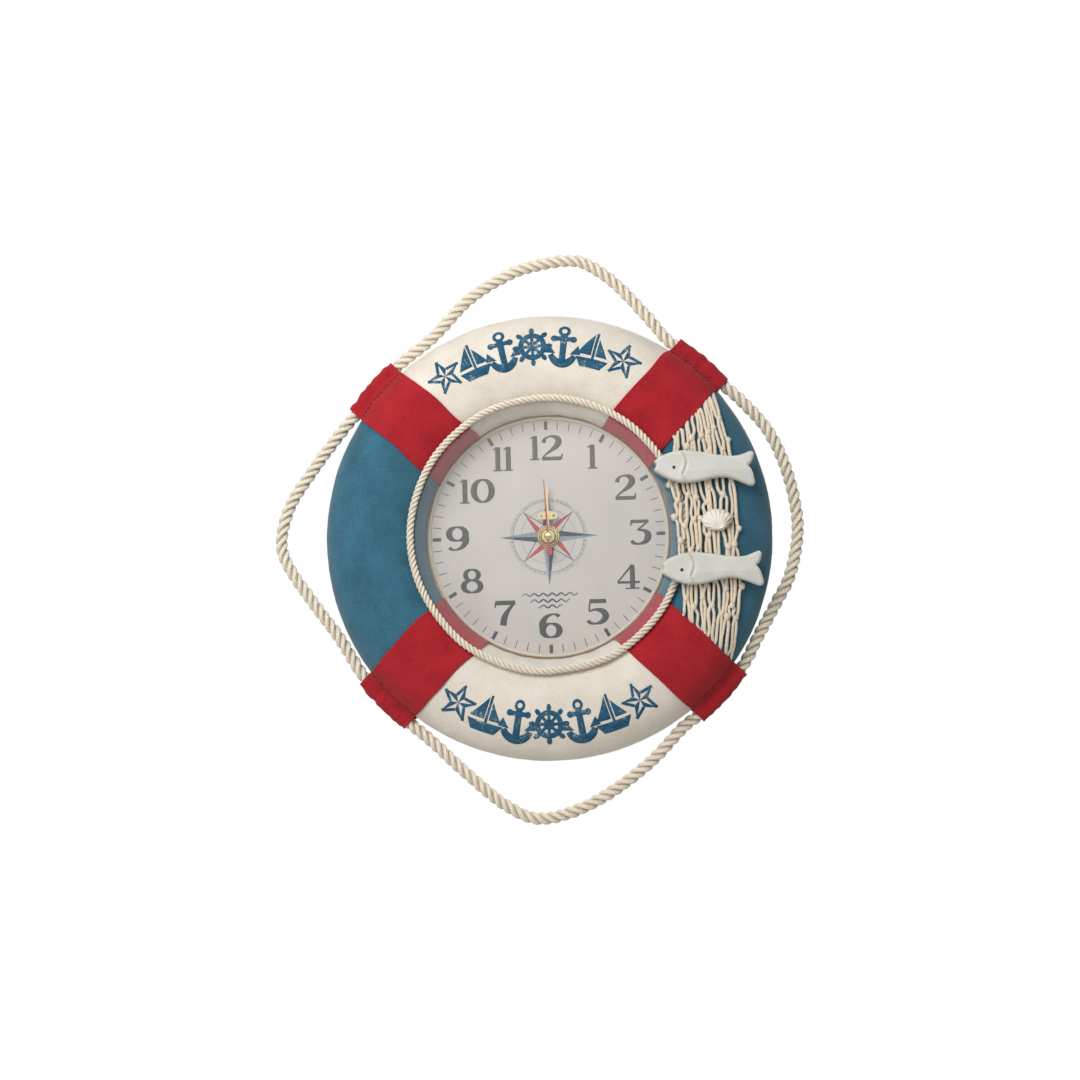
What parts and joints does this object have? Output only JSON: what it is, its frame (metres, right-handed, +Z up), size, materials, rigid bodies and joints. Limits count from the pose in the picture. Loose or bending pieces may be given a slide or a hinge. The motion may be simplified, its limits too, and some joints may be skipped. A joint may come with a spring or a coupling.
{
  "type": "wall clock",
  "caption": "Decorative lifebuoy wall clock: a canvas-covered ring with a grab rope round a glazed dial, trimmed with net, wooden fish and a shell, run by a quartz movement.",
  "frame": {"origin": "the nail's bearing point at the top of the hanger's slot, on the wall plane, 46 mm above the hands' axis", "axes": "+Z up the dial towards 12, +X towards 3, +Y into the wall, so the dial faces -Y"},
  "size_m": [0.3552, 0.0606, 0.3839],
  "materials": {
    "foam": "rough white foam",
    "white_canvas": "plain-weave canvas, off-white",
    "blue_canvas": "plain-weave canvas, teal blue",
    "red_canvas": "plain-weave cotton, deep red",
    "cotton_rope": "three-strand twisted cotton, cream",
    "net_cord": "knotted cotton twine, cream",
    "painted_wood": "satin white paint",
    "shell": "natural shell, low sheen",
    "clear_pane": "clear polished glass",
    "printed_card": "matt printed card",
    "fibre_board": "bare fibreboard",
    "zinc_steel": "zinc-plated steel",
    "black_rubber": "matt black rubber",
    "polished_brass": "polished gold-coloured brass",
    "red_paint": "satin red paint",
    "black_plastic": "fine-grained black plastic",
    "white_plastic": "moulded white acetal",
    "magnet": "dark sintered magnet",
    "copper_wire": "enamelled copper wire",
    "green_board": "green circuit board",
    "cell_sleeve": "plain printed sleeve, no lettering"
  },
  "bodies": {
    "clock": {"foam_ring": "foam", "canvas_top": "white_canvas", "canvas_bottom": "white_canvas", "canvas_left": "blue_canvas", "canvas_right": "blue_canvas", "band_upper_right": "red_canvas", "band_upper_left": "red_canvas", "band_lower_left": "red_canvas", "band_lower_right": "red_canvas", "grab_rope": "cotton_rope", "rim_rope": "cotton_rope", "dial_cord": "cotton_rope", "fishing_net": "net_cord", "fish_upper": "painted_wood", "fish_lower": "painted_wood", "scallop_shell": "shell", "glass_lens": "clear_pane", "dial_card": "printed_card", "dial_board": "fibre_board", "hanger_plate": "zinc_steel", "rubber_washer": "black_rubber", "dial_washer": "polished_brass", "fixing_nut": "polished_brass", "movement_case": "black_plastic", "back_cover": "black_plastic", "middle_plate": "white_plastic", "stator": "zinc_steel", "coil_winding": "copper_wire", "coil_core": "zinc_steel", "circuit_board": "green_board", "quartz_crystal": "zinc_steel", "battery": "cell_sleeve", "contact_plus": "zinc_steel", "contact_minus": "zinc_steel"},
    "seconds": {"second_wheel": "white_plastic", "second_hand": "red_paint", "second_cap": "polished_brass"},
    "third": {"third_wheel": "white_plastic"},
    "centre": {"centre_wheel": "white_plastic"},
    "fifth": {"fifth_wheel": "white_plastic"},
    "motor_rotor": {"rotor": "white_plastic", "rotor_magnet": "magnet"},
    "minutes": {"cannon_pinion": "polished_brass", "minute_hand": "polished_brass"},
    "intermediate": {"intermediate_wheel": "white_plastic"},
    "hours": {"hour_wheel": "white_plastic", "hour_hand": "polished_brass"},
    "knob": {"setting_knob": "white_plastic"}
  },
  "joints": [
    {"name": "second_spin", "type": "hinge", "parent": "clock", "child": "seconds", "pos_m": [0, -0.0155, -0.046], "axis": [0, 1, 0], "continuous": true},
    {"name": "third_spin", "type": "hinge", "parent": "clock", "child": "third", "pos_m": [0, -0.0102, -0.03678], "axis": [0, 1, 0], "continuous": true},
    {"name": "centre_spin", "type": "hinge", "parent": "clock", "child": "centre", "pos_m": [0, -0.0118, -0.046], "axis": [0, 1, 0], "continuous": true},
    {"name": "fifth_spin", "type": "hinge", "parent": "clock", "child": "fifth", "pos_m": [0.00814, -0.0053, -0.046], "axis": [0, 1, 0], "continuous": true},
    {"name": "rotor_spin", "type": "hinge", "parent": "clock", "child": "motor_rotor", "pos_m": [0.01439, -0.0053, -0.04167], "axis": [0, 1, 0], "continuous": true},
    {"name": "minute_spin", "type": "hinge", "parent": "clock", "child": "minutes", "pos_m": [0, -0.0134, -0.046], "axis": [0, 1, 0], "continuous": true},
    {"name": "intermediate_spin", "type": "hinge", "parent": "clock", "child": "intermediate", "pos_m": [-0.00756, -0.0134, -0.04875], "axis": [0, 1, 0], "continuous": true},
    {"name": "hour_spin", "type": "hinge", "parent": "clock", "child": "hours", "pos_m": [0, -0.0148, -0.046], "axis": [0, 1, 0], "continuous": true},
    {"name": "knob_spin", "type": "hinge", "parent": "clock", "child": "knob", "pos_m": [-0.01549, -0.0016, -0.05164], "axis": [0, 1, 0], "continuous": true}
  ],
  "couplings": [
    {"joint": "fifth_spin", "follows": "second_spin", "ratio": -5},
    {"joint": "rotor_spin", "follows": "second_spin", "ratio": 30},
    {"joint": "third_spin", "follows": "second_spin", "ratio": -0.125},
    {"joint": "centre_spin", "follows": "second_spin", "ratio": 0.016667},
    {"joint": "intermediate_spin", "follows": "minute_spin", "ratio": -0.33333},
    {"joint": "hour_spin", "follows": "minute_spin", "ratio": 0.083333},
    {"joint": "knob_spin", "follows": "minute_spin", "ratio": 0.83333}
  ]
}
